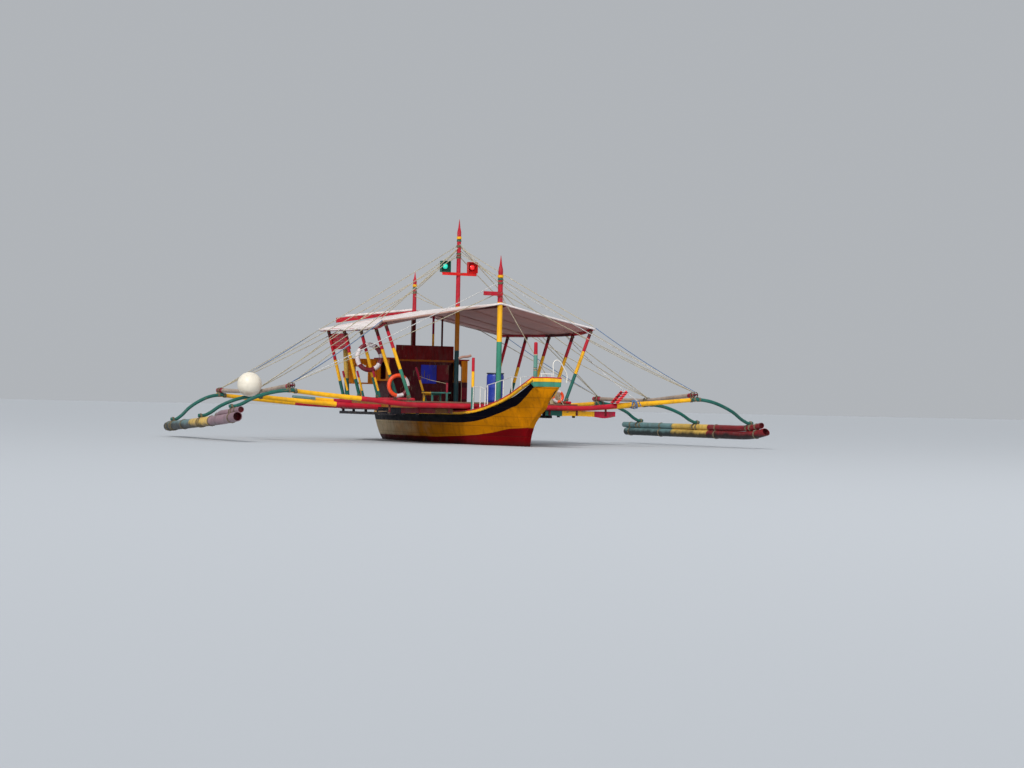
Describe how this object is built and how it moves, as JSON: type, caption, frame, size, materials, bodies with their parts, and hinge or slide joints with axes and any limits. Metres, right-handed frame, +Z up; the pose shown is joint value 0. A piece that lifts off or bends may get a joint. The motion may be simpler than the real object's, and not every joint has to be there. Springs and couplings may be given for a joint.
{
  "type": "double outrigger canoe",
  "caption": "Double outrigger passenger canoe with a deep planked hull, plank decks, a ridged canopy on leaning posts, masts, a cabin and pipe floats, afloat at its waterline.",
  "frame": {"origin": "on the water's surface at the centreline, near amidships", "axes": "+X towards the bow, +Y to port, +Z up, with the water at z = 0"},
  "size_m": [10.41, 14.2406, 6.272],
  "materials": {
    "mustard_planking": "worn mustard oil paint over planking",
    "engine_iron": "painted grey",
    "bottom_paint": "dark red bottom paint",
    "propeller_bronze": "dull bronze",
    "yellow_paint": "gloss paint, worn",
    "green_paint": "gloss paint, worn",
    "red_pole": "gloss paint over poles, with yellow and green bands",
    "dark_green_pole": "gloss paint over poles",
    "float_pipe": "painted pipe, green, yellow and red along its length",
    "bare_board": "weathered plank",
    "deck_board": "weathered plank",
    "canopy_cloth": "laced tarpaulin, dull",
    "stay_rope": "laid rope, drawn taut",
    "lamp_green": "gloss paint",
    "lamp_red": "gloss paint",
    "wine_paint": "painted plywood",
    "red_board": "painted timber",
    "drum_plastic": "moulded blue",
    "ring_white": "scuffed",
    "ring_orange": "scuffed"
  },
  "bodies": {
    "boat": {"hull": "mustard_planking", "engine": "engine_iron", "keel": "bottom_paint", "stern_post": "mustard_planking", "gunwale_starboard": "yellow_paint", "gunwale_port": "yellow_paint", "nose_board": "green_paint", "boom_front": "red_pole", "boom_seat_front": "bare_board", "boom_middle": "red_pole", "boom_seat_middle": "bare_board", "boom_rear": "red_pole", "boom_seat_rear": "bare_board", "arm_front_starboard": "dark_green_pole", "arm_middle_starboard": "dark_green_pole", "arm_rear_starboard": "dark_green_pole", "arm_front_port": "dark_green_pole", "arm_middle_port": "dark_green_pole", "arm_rear_port": "dark_green_pole", "outrigger_rail_starboard": "red_pole", "outrigger_rail_port": "red_pole", "float_lower_starboard": "float_pipe", "float_upper_starboard": "float_pipe", "float_lower_port": "float_pipe", "float_upper_port": "float_pipe", "main_deck": "deck_board", "wing_deck_port": "bare_board", "wing_deck_starboard": "bare_board", "deck_rail_starboard": "red_pole", "deck_rail_port": "red_pole", "canopy": "canopy_cloth", "ridge_pole": "red_pole", "canopy_frame_starboard": "red_pole", "canopy_frame_port": "red_pole", "mast_front": "red_pole", "mast_middle": "red_pole", "mast_rear": "red_pole", "mast_crossbar": "red_pole", "lamp_box_starboard": "lamp_green", "lamp_box_port": "lamp_red", "stay_front_starboard": "stay_rope", "stay_front_port": "stay_rope", "stay_middle_starboard": "stay_rope", "stay_middle_port": "stay_rope", "ladder": "red_board", "cabin_front": "wine_paint", "cabin_rear": "wine_paint", "cabin_side_starboard": "wine_paint", "cabin_side_port": "wine_paint", "cabin_roof": "red_board", "awning_beam": "red_board", "drum": "drum_plastic", "bench": "yellow_paint", "bow_bitt": "green_paint", "gunwale_post": "red_pole", "life_ring_white": "ring_white", "life_ring_orange": "ring_orange", "ball_fender": "ring_white"},
    "propeller": {"propeller": "propeller_bronze"},
    "rudder": {"rudder": "bottom_paint"}
  },
  "joints": [
    {"name": "propeller_spin", "type": "hinge", "parent": "boat", "child": "propeller", "pos_m": [-3.76, 0, -0.4], "axis": [1, 0, 0], "continuous": true},
    {"name": "rudder_steer", "type": "hinge", "parent": "boat", "child": "rudder", "pos_m": [-4.52, 0, 0.3], "axis": [0, 0, 1], "range_deg": [-35, 35]}
  ]
}
